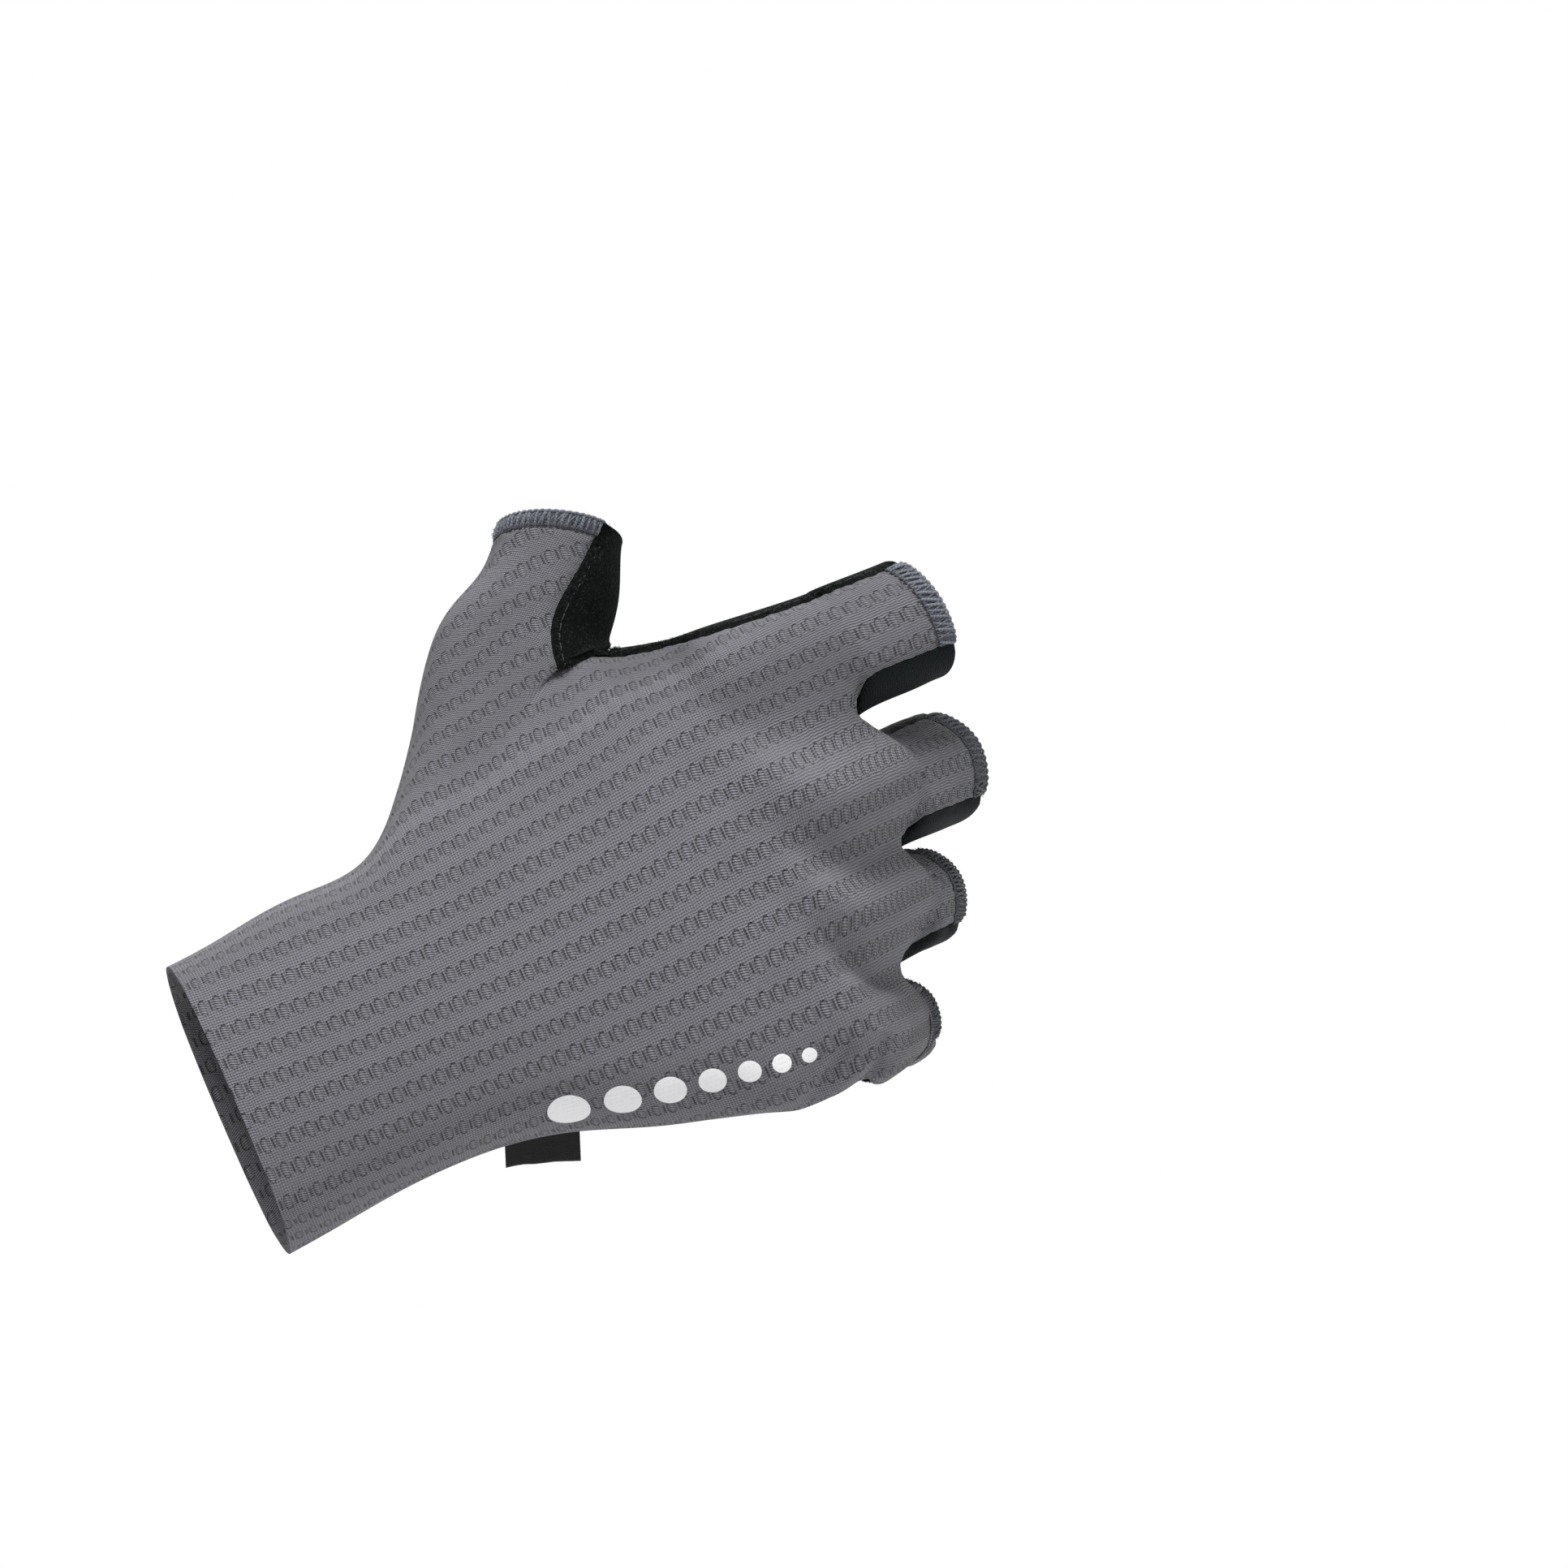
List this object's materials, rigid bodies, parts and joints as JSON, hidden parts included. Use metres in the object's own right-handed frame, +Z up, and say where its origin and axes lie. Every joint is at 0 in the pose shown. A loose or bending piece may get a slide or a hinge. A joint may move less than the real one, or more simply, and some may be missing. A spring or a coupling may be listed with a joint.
{
  "type": "fingerless cycling glove",
  "caption": "Right-hand fingerless cycling glove in its worn form: stretch-knit back and cuff, suede palm, overlocked finger ends and a blank side tab.",
  "frame": {"origin": "middle of the cuff's mouth, where the wrist goes in", "axes": "+X along the wrist towards the fingers, +Z up to the thumb side, -Y out of the back of the hand"},
  "size_m": [0.1609, 0.0618, 0.1233],
  "materials": {
    "knit": "grey stretch knit with rows of small raised cells",
    "suede": "black microfibre suede with a short nap",
    "side_cloth": "smooth black stretch cloth",
    "hem_thread": "blue-grey overlocked edge",
    "tape": "black woven tape"
  },
  "bodies": {
    "root": {"back_panel": "knit", "palm_panel": "suede", "crotch_patch": "suede", "side_index_middle": "side_cloth", "side_middle_ring": "side_cloth", "side_ring_little": "side_cloth", "thumb_hem": "hem_thread", "index_hem": "hem_thread", "middle_hem": "hem_thread", "ring_hem": "hem_thread", "little_hem": "hem_thread", "side_tab": "tape"}
  },
  "joints": []
}
